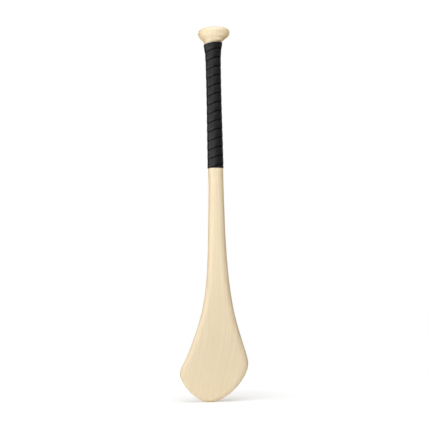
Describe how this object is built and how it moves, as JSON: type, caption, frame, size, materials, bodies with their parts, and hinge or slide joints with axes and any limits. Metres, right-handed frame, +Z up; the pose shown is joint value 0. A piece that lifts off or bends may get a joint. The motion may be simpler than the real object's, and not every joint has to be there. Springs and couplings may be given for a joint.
{
  "type": "hurley",
  "caption": "One-piece ash hurley with a broad flat bas, a long slender handle, a wound black grip and an oval butt knob.",
  "frame": {"origin": "middle of the grip, on the axis of the handle", "axes": "+Z up the handle to the butt knob; -Y out of the front face of the bas; -X towards the toe side of the bas"},
  "size_m": [0.1279, 0.0446, 0.7072],
  "materials": {
    "ash": "smooth sanded ash with a satin lacquer",
    "grip_black": "soft matte polyurethane with a fine grain",
    "tack_steel": "plain bright steel"
  },
  "bodies": {
    "root": {"ash_stick": "ash", "grip_tape": "grip_black", "lower_tack": "tack_steel", "upper_tack": "tack_steel"}
  },
  "joints": []
}
